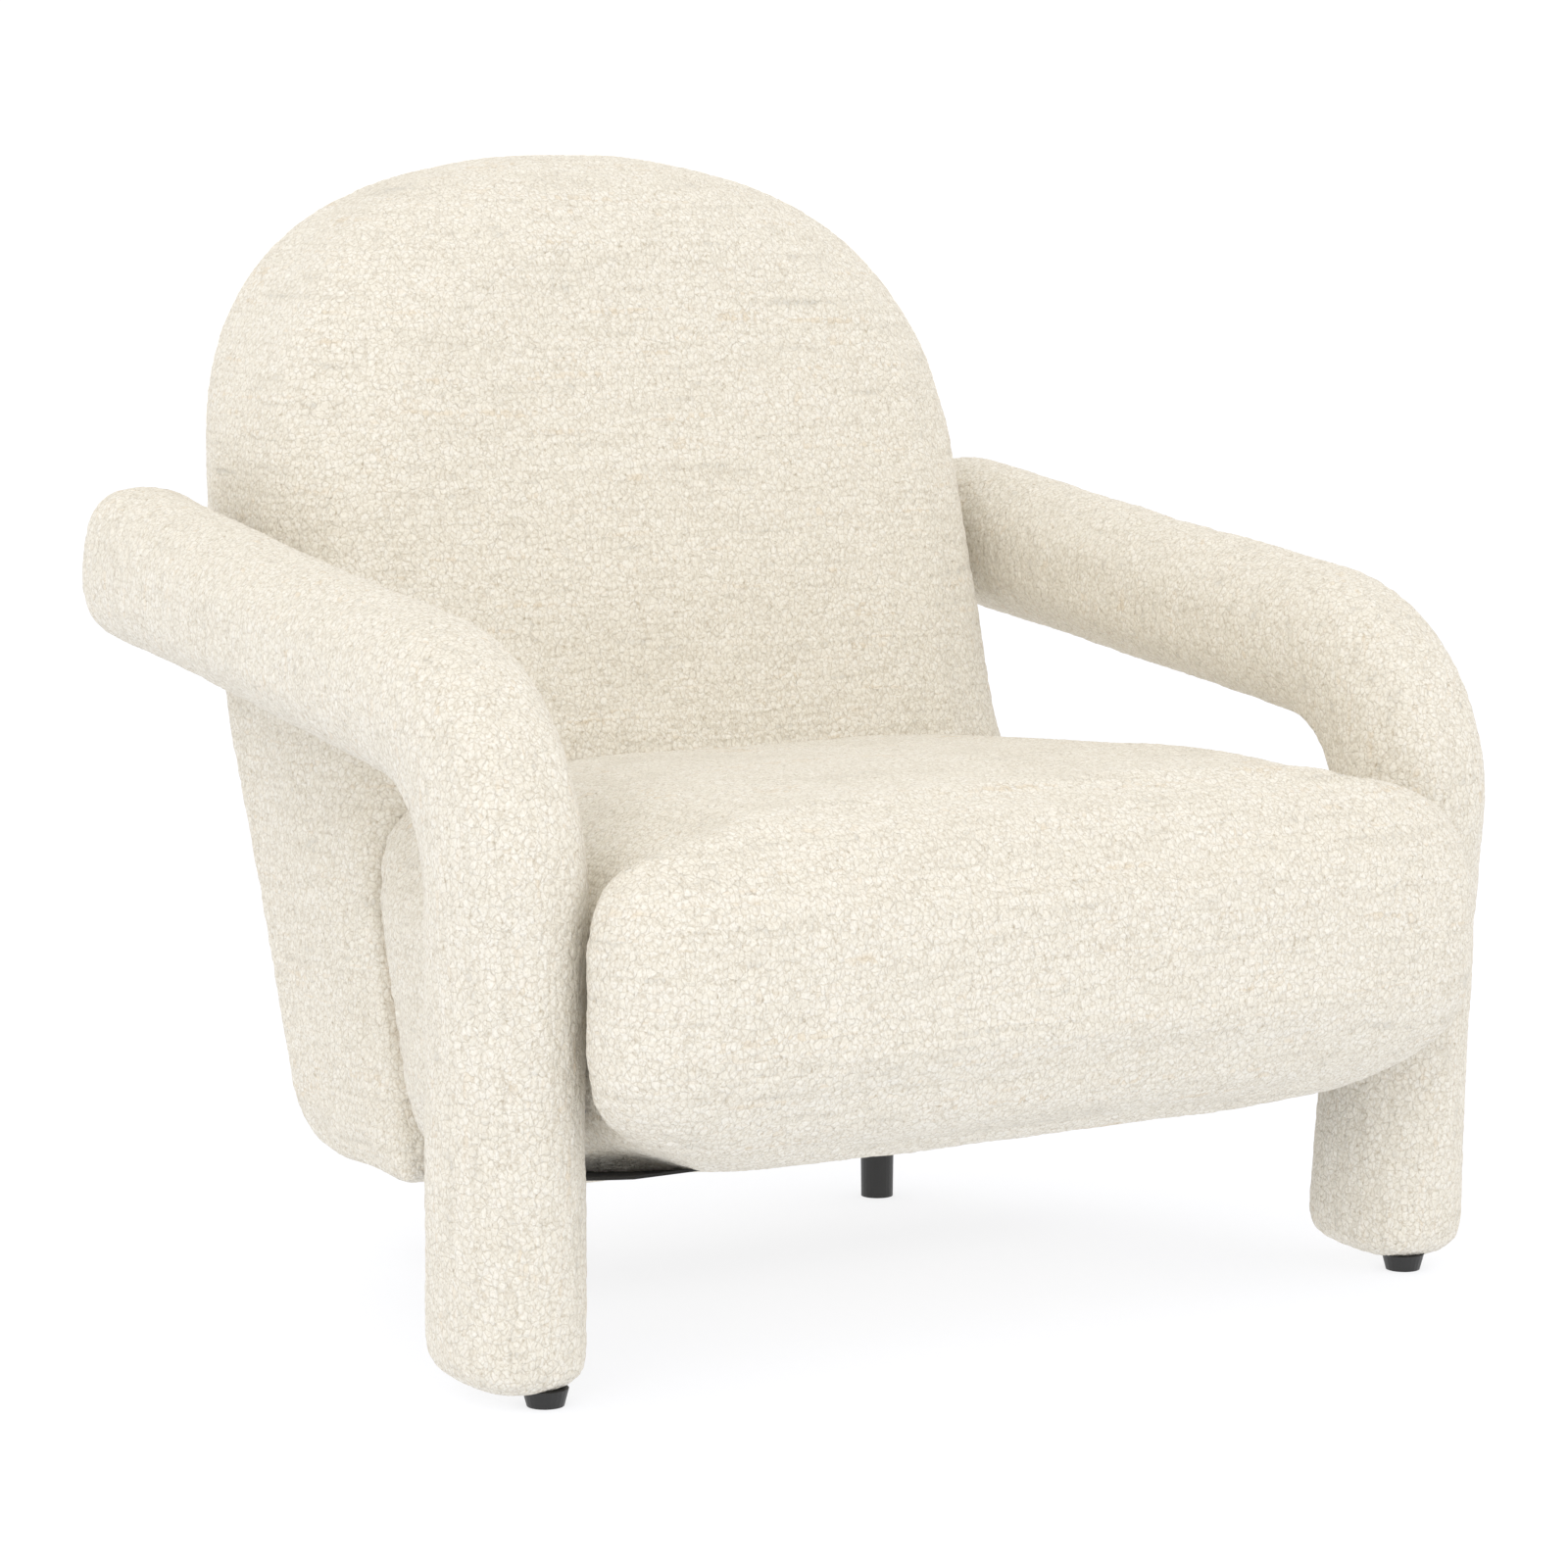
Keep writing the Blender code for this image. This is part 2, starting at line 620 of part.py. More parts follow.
def build_base_frame(looks):
    low_z = RAIL_LOW
    high_z = RAIL_LOW + RAIL_HEIGHT
    front_y = BAY_FRONT_Y + GAP
    rear_y = back_front_y(BASE_REAR_Z) - COVER - 0.003
    side_x = BAY_HALF_WIDTH - GAP
    inner_x = side_x - RAIL_THICKNESS
    timber = looks["timber"]
    for side, word in ((-1, "left"), (1, "right")):
        ends = sorted((side * inner_x, side * side_x))
        low, high = (ends[0], front_y, low_z), (ends[1], SIDE_RAIL_REAR_Y, high_z)
        made = rail(f"side_rail_{word}", low, high, timber)
        for number, z in enumerate(BOLT_HEIGHTS, start=1):
            cut(made, bpy.data.objects[f"bolt_hole_{number}_{word}"])
    span = inner_x - GAP
    front_in = front_y + RAIL_THICKNESS
    rear_in = rear_y - RAIL_THICKNESS
    rail("front_rail", (-span, front_y, low_z), (span, front_in, high_z), timber)
    rail("rear_rail", (-span, rear_in, low_z), (span, rear_y, high_z), timber)
    for side, word in ((-1, "left"), (1, "right")):
        for end, name, y in ((1, "front", front_in + GAP), (-1, "rear", rear_in - GAP)):
            corner = Vector((side * span, y))
            rings = [
                [
                    (corner.x, corner.y, z),
                    (corner.x - side * BLOCK_SIZE, corner.y, z),
                    (corner.x, corner.y + end * BLOCK_SIZE, z),
                ]
                for z in (low_z + 0.032, high_z - 0.030)
            ]
            label = f"corner_block_{name}_{word}"
            add_part(label, loft_mesh(label, rings), timber, smooth=False)
        foot_x, half, depth = side * REAR_FOOT_X, FOOT_BLOCK_WIDTH / 2, FOOT_BLOCK_DEPTH / 2
        low = (foot_x - half, REAR_FOOT_Y - depth, FOOT_BLOCK_LOW)
        high = (foot_x + half, REAR_FOOT_Y + depth, FOOT_BLOCK_HIGH)
        rail(f"foot_block_{word}", low, high, timber)
    build_springs(looks, front_y + 0.006, rear_y - 0.006, high_z)


def build_springs(looks, front_y, rear_y, rail_top):
    """Sinuous springs, arched a little between the rails, and the felt over them."""
    height = rail_top + SPRING_WIRE + GAP
    span = rear_y - front_y
    loops = int(span / SPRING_PITCH)
    steps = loops * 4
    for index in range(SPRING_COUNT):
        centre_x = (index - (SPRING_COUNT - 1) / 2) * SPRING_SPACING
        points = []
        for i in range(steps + 1):
            share = i / steps
            sway = SPRING_HALF_WIDTH * math.sin(math.pi * share * loops)
            x = centre_x + math.copysign(sway, centre_x * sway)
            z = height + SPRING_ARCH * math.sin(math.pi * share)
            points.append((x, front_y + span * share, z))
        name = f"seat_spring_{index + 1}"
        add_part(name, tube_mesh(name, points, SPRING_WIRE, resolution=0), looks["steel"])
    low = (-BAY_HALF_WIDTH + 0.006, front_y - 0.004, BAY_TOP - 0.0045)
    high = (BAY_HALF_WIDTH - 0.006, rear_y + 0.004, BAY_TOP - GAP)
    add_part("spring_felt", box_mesh("spring_felt", low, high), looks["felt"], smooth=False)


def build_dust_cover(looks):
    """The thin panel that closes the base from below, level with the rising underside."""
    half = BAY_HALF_WIDTH - DUST_COVER_CLEARANCE
    front, rear = BAY_FRONT_Y + DUST_COVER_CLEARANCE, SIDE_RAIL_REAR_Y - DUST_COVER_CLEARANCE
    rings = []
    for y in (front, back_front_y(BASE_REAR_Z), rear):
        low = base_z(y) + DUST_COVER_RECESS
        high = low + DUST_COVER_THICKNESS
        rings.append([(-half, y, low), (half, y, low), (half, y, high), (-half, y, high)])
    panel = add_part("dust_cover", loft_mesh("dust_cover", rings), looks["black_cloth"], smooth=False)
    for side, word in ((-1, "left"), (1, "right")):
        cut(panel, add_cutter(f"foot_hole_{word}", foot_hole_mesh("foot_hole", side)))


def build_rear_feet(looks):
    for side, word in ((-1, "left"), (1, "right")):
        mesh = turned_mesh(f"rear_foot_{word}", REAR_FOOT_RADIUS, FOOT_BLOCK_LOW - GAP, 0.86)
        foot = add_part(f"rear_foot_{word}", mesh, looks["black"])
        foot.location = (side * REAR_FOOT_X, REAR_FOOT_Y, 0.0)


def bolt_points(side, z):
    """(x, radius) steps of an arm bolt, from its head inside the rail to the arm's core."""
    rail_face = BAY_HALF_WIDTH - GAP - RAIL_THICKNESS
    core_face = abs(tube_x(1, BOLT_Y, z)) - CORE_RADIUS
    head = (rail_face - GAP - BOLT_HEAD_HEIGHT, rail_face - GAP)
    return [
        (side * head[0], BOLT_HEAD_RADIUS),
        (side * head[1], BOLT_HEAD_RADIUS),
        (side * head[1], BOLT_RADIUS),
        (side * (core_face - GAP), BOLT_RADIUS),
    ]


def bolt_mesh(name, side, z, growth):
    rings = []
    for x, radius in bolt_points(side, z):
        full = radius + growth
        circle = []
        for i in range(BOLT_SIDES):
            angle = 2 * math.pi * i / BOLT_SIDES
            circle.append((x, BOLT_Y + full * math.cos(angle), z + full * math.sin(angle)))
        rings.append(circle)
    if growth:
        rings = [rings[-1], [(x - side * HOLE_LENGTH, y, z) for x, y, z in rings[-1]]]
    return loft_mesh(name, rings)


def build_arm_bolts(looks):
    """Two bolts a side tie the seat's side rail to the arm's steel core, through both covers and foams."""
    for side, word in ((-1, "left"), (1, "right")):
        for number, z in enumerate(BOLT_HEIGHTS, start=1):
            name = f"arm_bolt_{number}_{word}"
            add_part(name, bolt_mesh(name, side, z, 0.0), looks["steel"])
            hole_name = f"bolt_hole_{number}_{word}"
            hole = add_cutter(hole_name, bolt_mesh(hole_name, side, z, BOLT_CLEARANCE))
            for pierced in (f"arm_cover_{word}", f"arm_foam_{word}", "seat_cover", "seat_foam"):
                cut(bpy.data.objects[pierced], hole)


def main():
    global PARTS, CUTTERS
    clear_scene()
    PARTS = collection("armchair")
    CUTTERS = collection("cutters", hidden=True)
    looks = {
        "fabric": material("boucle", (0.80, 0.76, 0.69), 0.95),
        "foam": material("foam", (0.86, 0.82, 0.70), 0.90),
        "timber": material("timber", (0.62, 0.45, 0.28), 0.60),
        "steel": material("steel", (0.32, 0.32, 0.34), 0.35, 0.9),
        "felt": material("felt", (0.55, 0.55, 0.52), 0.95),
        "webbing": material("webbing", (0.30, 0.26, 0.20), 0.85),
        "black_cloth": material("black_cloth", (0.03, 0.03, 0.03), 0.95),
        "black": material("black_plastic", (0.02, 0.02, 0.02), 0.45),
    }
    for side, word in ((-1, "left"), (1, "right")):
        build_arm(side, word, looks)
    build_seat(looks)
    build_back(looks)
    build_arm_bolts(looks)
    build_base_frame(looks)
    build_back_frame(looks)
    build_dust_cover(looks)
    build_rear_feet(looks)


main()
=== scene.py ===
"""Lounge chair in boucle: the looks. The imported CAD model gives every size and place, in metres, +Z up."""

import json
import math

import bmesh
import bpy
from mathutils import Matrix, Vector

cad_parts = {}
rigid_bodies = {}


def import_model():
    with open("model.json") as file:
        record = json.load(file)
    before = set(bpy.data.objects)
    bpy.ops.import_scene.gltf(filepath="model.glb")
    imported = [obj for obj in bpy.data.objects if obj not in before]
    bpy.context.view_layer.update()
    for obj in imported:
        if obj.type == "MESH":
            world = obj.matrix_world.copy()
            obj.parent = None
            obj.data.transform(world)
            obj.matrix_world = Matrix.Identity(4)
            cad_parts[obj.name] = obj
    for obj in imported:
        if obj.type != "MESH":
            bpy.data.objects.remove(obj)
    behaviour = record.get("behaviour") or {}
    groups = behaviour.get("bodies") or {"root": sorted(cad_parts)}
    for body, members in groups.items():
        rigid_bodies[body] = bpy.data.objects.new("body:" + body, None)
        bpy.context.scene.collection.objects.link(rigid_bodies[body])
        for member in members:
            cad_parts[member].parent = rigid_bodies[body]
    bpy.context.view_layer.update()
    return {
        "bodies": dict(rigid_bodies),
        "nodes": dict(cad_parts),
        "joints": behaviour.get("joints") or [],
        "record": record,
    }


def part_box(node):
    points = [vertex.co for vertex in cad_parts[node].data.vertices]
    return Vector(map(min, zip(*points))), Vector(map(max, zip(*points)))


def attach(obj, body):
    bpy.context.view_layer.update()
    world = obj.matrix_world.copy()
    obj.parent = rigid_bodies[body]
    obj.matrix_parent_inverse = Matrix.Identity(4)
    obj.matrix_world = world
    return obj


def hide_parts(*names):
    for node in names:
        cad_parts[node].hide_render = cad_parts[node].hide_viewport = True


# Nubs of the cloth: single loops in the shader, and clumps of them in the mesh
NUB = 0.0042
CLUMP = 0.0070
CLUMP_HEIGHT = 0.0012
CLUMP_FLOOR = 0.35
DRIFT_HEIGHT = 0.0014
DRIFT_SCALE = 11.0
NUB_RANDOMNESS = 0.9
NUB_WOBBLE = 1.5
NUB_WOBBLE_SCALE = 0.55
NUB_TALL = 0.78
NUB_ROUND = 1.15

# Yarn colours from the coolest to the warmest, the painted shade between loops, and the lines along each yarn
YARN_STOPS = (
    (0.30, (0.740, 0.720, 0.660)),
    (0.44, (0.850, 0.815, 0.730)),
    (0.58, (0.905, 0.870, 0.780)),
    (0.70, (0.935, 0.910, 0.840)),
    (0.86, (0.850, 0.775, 0.650)),
)
# Painted shade: the dark colour laid into the pits between loops
PIT_SHADE_COLOUR = (0.42, 0.34, 0.23, 1.0)
LEVEL_LINES = (0.05, 0.05, 1.0)
UPRIGHT_LINES = (1.0, 0.6, 0.08)

# Noises in the cloth's look: scale, detail and stretch
FLUFF = (1100.0, 3.0)
SLUB = (190.0, 1.0)
PATCH = (42.0, 2.0, (0.5, 0.6, 1.4))
SPECK = (330.0, 2.0, (1.0, 1.0, 0.7))
CURLS_PER_NUB = 2.4

# What each part of the cloth adds to its relief, and to the choice of yarn colour
RELIEF_NUB, RELIEF_CURL, RELIEF_FLUFF, RELIEF_SLUB = 0.80, 0.45, 0.35, 0.90
YARN_CELL, YARN_PATCH, YARN_SLUB = 0.22, 0.36, 0.62

# Painted shade between loops: 0 is the painted shade colour of the pits and 1 is the yarn's own
PIT_BASE, PIT_EDGE, PIT_CURL, PIT_SPECK = 0.50, 0.30, 0.18, 0.55
EDGE_FLUFF, EDGE_PATCH = 0.16, 0.10
CURL_FROM, CURL_GAIN = 0.25, 2.2
SPECK_FROM, SPECK_GAIN = 0.60, 4.0
BUMP_STRENGTH, BUMP_DEPTH = 0.8, 0.0018
FABRIC_SURFACE = {"Roughness": 0.95, "Specular IOR Level": 0.10, "Sheen Weight": 0.15, "Sheen Roughness": 0.6}

# Plain materials: colour, roughness, grain scale and grain depth
BLACK_PLASTIC = ((0.018, 0.018, 0.018), 0.42, 420.0, 0.0002)
BLACK_CLOTH = ((0.02, 0.02, 0.02), 0.95, 900.0, 0.0004)
TIMBER = ((0.55, 0.40, 0.25), 0.6, 60.0, 0.0006)

# Remesh and cloth
VOXEL = 0.0062
REMESH_ROUNDS = 6
CLOTH_ROUNDS = 4
CLOTH_FRAMES = 14
CLOTH_PRESSURE = 4.0
CLOTH_QUALITY = 4
CLOTH_MASS = 0.3
CLOTH_STIFFNESS = 12.0
CLOTH_BENDING = 0.8
SOFT_CAP = 0.005
STAND_IN = 0.0022

# Dust cloth under the base
CLOTH_THICK = 0.0020
CLOTH_DROP = 0.0005
CLOTH_SPREAD = 0.020
CLOTH_SETBACK = 0.010
CLOTH_REAR_SETBACK = 0.042
CLOTH_SPREAD_BY = 0.6
CLOTH_STEPS = 24

# Arm-and-leg tube: section, bend and ends
TUBE_HALF_WIDTH = 0.049
TUBE_HALF_DEPTH = 0.061
TUBE_POWER = 2.9
TUBE_SIDES = 48
LEG_END_Y = 0.071
LEG_END_DROP = 0.0045
LEG_END_ROUND = 0.020
LEG_RAKE = 0.015
ELBOW_Z = 0.452
ELBOW_RADIUS = 0.121
ARM_END_IN = 0.003
ARM_END_DOWN = 0.0535
ARM_END_ROUND = 0.044
TUBE_OUT = 0.010
TUBE_SPLAY = 0.019
ARM_TOE_IN = 0.024
LEG_STEPS, ELBOW_STEPS, ARM_STEPS = 30, 24, 40

# Seat
SEAT_POWER = 4.6
SQUARE_POWER = 7.0
SEAT_SIDES = 112
SEAT_FLARE = 0.0225
SEAT_OVERHANG = 0.005
SEAT_REAR_Z = 0.36
SEAT_REAR_FALL = 0.018
SEAT_LEAN_RUN = 0.20
NOSE_MIDDLE_Z = 0.262
NOSE_LOW_Z = 0.1565
NOSE_POWER = 2.3
NOSE_NARROW = 0.060
NOSE_SHARE = 0.94
NOSE_TOP_DROP = 0.004
BULGE_LEAST = 0.10
BULGE_LOW_LEAST, BULGE_LOW_POWER = 0.3, 0.8
SEAT_TOP_DROP = 0.003
BASE_FALL = 0.082
FALL_FROM, FLARE_FROM, CROWN_BY = 0.30, 0.15, 0.25
WING_GAP = 0.0035
WING_RUN = 0.006
CORNER_RUN = 0.010
NOSE_STEPS, CORNER_STEPS, BODY_STEPS = 21, 8, 30

# Back
BACK_LEAN = math.tan(math.radians(15.5))
BACK_REAR_LEAN = math.tan(math.radians(8.5))
BACK_REAR_OUT = 0.0086
BACK_ARCH_HEIGHT = 0.275
BACK_ARCH_POWER = 2.6
BACK_ARCH_RISE = 0.004
BACK_ARCH_STEPS = 64
ARCH_GAP = 0.008
BACK_EDGE = 0.062
BACK_CORNER_RADIUS = 0.052
BACK_TUCK_LEAN = math.tan(math.radians(13.5))
BACK_TUCK_Z = 0.440
TUCK_EASE = 0.060
BACK_FRONT_CROWN = 0.011
BACK_REAR_CROWN = 0.006
CROWN_EDGES = (0.30, 0.26, 0.22, 0.18, 0.145, 0.115, 0.09)
CROWN_BAND = (0.06, 0.26)
EDGE_ANGLES = (90, 75, 60, 45, 30, 15, 0)
CORNER_ANGLE_STEP, CORNER_ANGLES = 8, 11
SIDE_STEPS = 40
EDGE_SOFT_BAND = (0.27, 0.40)
CROWN_SOFT_BAND = (0.40, 0.52)
EDGE_SHARP = 0.08

# Room left between faces that meet, and where the seat meets the back
SKIN = 0.0005
NEAR = 0.001

# Stage
FLOOR_SIZE = 12.0
FLOOR_COLOUR = (0.26, 0.27, 0.30)
FLOOR_ROUGHNESS = 0.9
# The floor glows evenly with painted light, which keeps the chair's shadow on it faint
FLOOR_GLOW = 0.76
WORLD_COLOUR = (1.0, 0.98, 0.95, 1.0)
WORLD_STRENGTH = 1.12
LIGHT_TARGET = (0.0, 0.0, 0.4)
LIGHT_SIZE = 3.0
KEY_PLACE, KEY_POWER = (-3.0, -2.4, 2.8), 26.0
FILL_PLACE, FILL_POWER = (2.2, -3.2, 1.8), 6.0

# Camera
SENSOR_WIDTH = 36.0
CAMERA_PLACE = (-1.9472, -3.0115, 0.8120)
CAMERA_TILT = 6.785
CAMERA_TURN = 33.0
CAMERA_LENS = 109.42
CAMERA_SHIFT = (0.0027, -0.0182)
BOXES = {}


def box(node):
    """A CAD node's lowest and highest corner, read once."""
    if node not in BOXES:
        BOXES[node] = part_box(node)
    return BOXES[node]


def clear_scene():
    for old in list(bpy.data.objects):
        bpy.data.objects.remove(old, do_unlink=True)


# ---------------------------------------------------------------- mesh helpers


def loft(name, rings, level_caps=False):
    """A closed solid through rings of equal count, with fan caps, or level strips for mirrored rings."""
    shape = bmesh.new()
    rows = [[shape.verts.new(point) for point in ring] for ring in rings]
    count = len(rows[0])
    for row, following in zip(rows, rows[1:]):
        for i in range(count):
            j = (i + 1) % count
            shape.faces.new((row[i], row[j], following[j], following[i]))
    for row in (rows[0], rows[-1]):
        if level_caps:
            for i in range((count - 1) // 2):
                corners = (row[i], row[i + 1], row[count - 2 - i], row[count - 1 - i])
                shape.faces.new(tuple(dict.fromkeys(corners)))
            continue
        middle = shape.verts.new(sum((v.co for v in row), Vector()) / count)
        for i in range(count):
            shape.faces.new((row[i], row[(i + 1) % count], middle))
    bmesh.ops.recalc_face_normals(shape, faces=shape.faces)
    mesh = bpy.data.meshes.new(name)
    shape.to_mesh(mesh)
    shape.free()
    made = bpy.data.objects.new(name, mesh)
    bpy.context.scene.collection.objects.link(made)
    return made


def oval(half_width, half_height, power, sides, low_power=None):
    """Points of a superellipse, whose lower half can have a power of its own."""
    points = []
    for i in range(sides):
        angle = 2 * math.pi * (i + 0.5) / sides
        c, s = math.cos(angle), math.sin(angle)
        p = low_power if low_power and s < 0 else power
        u = math.copysign(abs(c) ** (2 / p), c) * half_width
        v = math.copysign(abs(s) ** (2 / p), s) * half_height
        points.append((u, v))
    return points


def smooth_step(low, high, value):
    """0 below low and 1 above high, with an eased rise between."""
    t = min(max((value - low) / (high - low), 0.0), 1.0)
    return t * t * (3 - 2 * t)


def mix(a, b, t):
    """The value a share t of the way from a to b."""
    return a + (b - a) * t


def apply_modifiers(obj):
    """Makes the modified mesh the object's own."""
    graph = bpy.context.evaluated_depsgraph_get()
    mesh = bpy.data.meshes.new_from_object(obj.evaluated_get(graph))
    obj.modifiers.clear()
    obj.data = mesh


def remesh(obj):
    """Even quads all over, with the loft's facets smoothed away."""
    even = obj.modifiers.new("even", "REMESH")
    even.mode = "VOXEL"
    even.voxel_size = VOXEL
    apply_modifiers(obj)
    soften(obj, REMESH_ROUNDS)


def soften(obj, rounds):
    """Smooths the mesh a number of times."""
    calm = obj.modifiers.new("calm", "SMOOTH")
    calm.iterations = rounds
    apply_modifiers(obj)


def inflate(obj):
    """Swells the pad with air pressure as a cloth, and keeps each point within the cap of where it was."""
    before = [v.co.copy() for v in obj.data.vertices]
    cloth = obj.modifiers.new("cloth", "CLOTH")
    settings = cloth.settings
    settings.use_pressure = True
    settings.uniform_pressure_force = CLOTH_PRESSURE
    settings.quality = CLOTH_QUALITY
    settings.mass = CLOTH_MASS
    settings.tension_stiffness = CLOTH_STIFFNESS
    settings.compression_stiffness = CLOTH_STIFFNESS
    settings.bending_stiffness = CLOTH_BENDING
    settings.effector_weights.gravity = 0.0
    cloth.collision_settings.use_collision = False
    cloth.point_cache.frame_start = 1
    cloth.point_cache.frame_end = CLOTH_FRAMES + 1
    for frame in range(1, CLOTH_FRAMES + 1):
        bpy.context.scene.frame_set(frame)
    apply_modifiers(obj)
    bpy.context.scene.frame_set(1)
    for vertex, start in zip(obj.data.vertices, before):
        move = vertex.co - start
        if move.length > SOFT_CAP:
            vertex.co = start + move * (SOFT_CAP / move.length)


# ---------------------------------------------------------------- forms


def tube_path():
    """(centre, direction) pairs in Y and Z along the middle of a tube, from the CAD cover's box."""
    low, high = box("arm_cover_left")
    leg_end = Vector((low.y + LEG_END_Y, low.z - LEG_END_DROP))
    elbow = Vector((leg_end.x - LEG_RAKE, ELBOW_Z))
    arm_end = Vector((high.y - ARM_END_IN, high.z - ARM_END_DOWN))
    down, back = (leg_end - elbow).normalized(), (arm_end - elbow).normalized()
    half_angle = down.angle(back) / 2
    reach = ELBOW_RADIUS / math.tan(half_angle)
    centre = elbow + (down + back).normalized() * (ELBOW_RADIUS / math.sin(half_angle))
    start = elbow + down * reach
    swing = math.pi - 2 * half_angle
    pairs = []
    for i in range(LEG_STEPS):
        pairs.append((leg_end.lerp(start, i / LEG_STEPS), -down))
    for i in range(ELBOW_STEPS + 1):
        turn = Matrix.Rotation(-swing * i / ELBOW_STEPS, 2)
        pairs.append((centre + turn @ (start - centre), turn @ -down))
    finish = pairs[-1][0]
    for i in range(1, ARM_STEPS + 1):
        pairs.append((finish.lerp(arm_end, i / ARM_STEPS), back))
    return pairs, elbow


def end_shrink(run, radius):
    """How far a rounded end has drawn in, at a distance from its tip."""
    if run >= radius:
        return 0.0
    t = 1 - run / radius
    return radius * (1 - math.sqrt(max(1 - t * t, 0.0)))


def build_tube(side, word):
    """An arm and front leg in one: its middle leans out with height and toes in towards the rear."""
    pairs, elbow = tube_path()
    glide_low, glide_high = box(f"front_glide_{word}")
    glide_x = abs(glide_low.x + glide_high.x) / 2
    total = sum((b[0] - a[0]).length for a, b in zip(pairs, pairs[1:]))
    rings, run = [], 0.0
    for index, (centre, direction) in enumerate(pairs):
        if index:
            run += (centre - pairs[index - 1][0]).length
        x = glide_x + TUBE_OUT + TUBE_SPLAY * centre.y - ARM_TOE_IN * max(centre.x - elbow.x, 0.0)
        shrink = STAND_IN + end_shrink(run, LEG_END_ROUND) + end_shrink(total - run, ARM_END_ROUND)
        normal = Vector((-direction.y, direction.x))
        ring = []
        for u, v in oval(TUBE_HALF_WIDTH - shrink, TUBE_HALF_DEPTH - shrink, TUBE_POWER, TUBE_SIDES):
            place = centre + normal * v
            ring.append((side * x + u, place.x, place.y))
        rings.append(ring)
    return loft(f"arm_fabric_{word}", rings)


def back_front_y(z):
    """Y on the plane of the back's front face, through the back cover's foremost point."""
    low, _ = box("back_cover")
    return low.y + SKIN + (z - low.z) * BACK_LEAN


def base_z(y):
    """The underside: it falls towards the back, and is level below the back."""
    seat_low, _ = box("seat_cover")
    back_low, _ = box("back_cover")
    share = (y - seat_low.y) / (back_low.y - seat_low.y)
    return back_low.z + BASE_FALL * max(1 - share, 0.0)


def seat_rings():
    """(y, half width, underside, top, lower power) from the bullnose, round the front legs, to the back."""
    low, high = box("seat_cover")
    front_half = high.x + SEAT_OVERHANG
    rear_half = box("back_cover")[1].x + NEAR
    body_half = rear_half + SEAT_FLARE
    tip, top = low.y + SKIN, high.z
    wing = box("arm_cover_left")[0].y - WING_GAP
    rear = back_front_y(SEAT_REAR_Z)
    rings = []
    for i in range(NOSE_STEPS + 1):
        share = 1 - math.cos(math.pi / 2 * i / NOSE_STEPS)
        bulge = max((1 - (1 - share) ** NOSE_POWER) ** (1 / NOSE_POWER), BULGE_LEAST)
        y = tip + share * (wing - tip) * NOSE_SHARE
        lower = mix(NOSE_MIDDLE_Z, NOSE_LOW_Z, max(bulge, BULGE_LOW_LEAST) ** BULGE_LOW_POWER)
        upper = mix(NOSE_MIDDLE_Z, top - NOSE_TOP_DROP, bulge)
        rings.append((y, front_half - NOSE_NARROW * (1 - bulge), lower, upper, SEAT_POWER))
    for i in range(CORNER_STEPS + 1):
        turn = math.pi / 2 * i / CORNER_STEPS
        y = wing - WING_RUN + CORNER_RUN * math.sin(turn)
        half = mix(body_half, front_half, math.cos(turn))
        power = mix(SEAT_POWER, SQUARE_POWER, i / CORNER_STEPS)
        rings.append((y, half, base_z(y) - NEAR, top - SEAT_TOP_DROP, power))
    for i in range(1, BODY_STEPS + 1):
        share = i / BODY_STEPS
        y = wing + WING_RUN + share * (rear - wing - 2 * WING_RUN)
        fall = max(share - FALL_FROM, 0.0) / (1 - FALL_FROM)
        upper = top - SEAT_TOP_DROP * (1 - smooth_step(0.0, CROWN_BY, share)) - SEAT_REAR_FALL * fall
        half = mix(body_half, rear_half, smooth_step(FLARE_FROM, 1.0, share))
        rings.append((y, half, base_z(y), upper, SQUARE_POWER))
    return rings


def build_seat():
    """The crowned seat, whose rear end leans to meet the back."""
    rings = []
    rows = seat_rings()
    last_y = rows[-1][0]
    for y, half, lower, upper, low_power in rows:
        centre, height = (lower + upper) / 2, (upper - lower) / 2 - STAND_IN
        ring = []
        lean = smooth_step(last_y - SEAT_LEAN_RUN, last_y, y)
        for u, v in oval(half - STAND_IN, height, SEAT_POWER, SEAT_SIDES, low_power):
            z = centre + v
            slant = (back_front_y(z) - NEAR) - last_y
            ring.append((u, y + slant * lean, z))
        rings.append(ring)
    return loft("seat_fabric", rings)


def tuck(z):
    """How far a height is below the arms, eased in over a short band."""
    below = BACK_TUCK_Z + TUCK_EASE - z
    if below <= 0:
        return 0.0
    if below < 2 * TUCK_EASE:
        return below**2 / (4 * TUCK_EASE)
    return below - TUCK_EASE


def back_rear_y(z):
    """The back's rear face: it leans, tucks in below the arms and rounds under at the floor end."""
    low, high = box("back_cover")
    straight = high.y + BACK_REAR_OUT - (high.z - z) * BACK_REAR_LEAN
    straight -= BACK_TUCK_LEAN * tuck(z)
    drop = max(low.z + BACK_CORNER_RADIUS - z, 0.0)
    return straight - (BACK_CORNER_RADIUS - math.sqrt(max(BACK_CORNER_RADIUS**2 - drop**2, 0.0)))


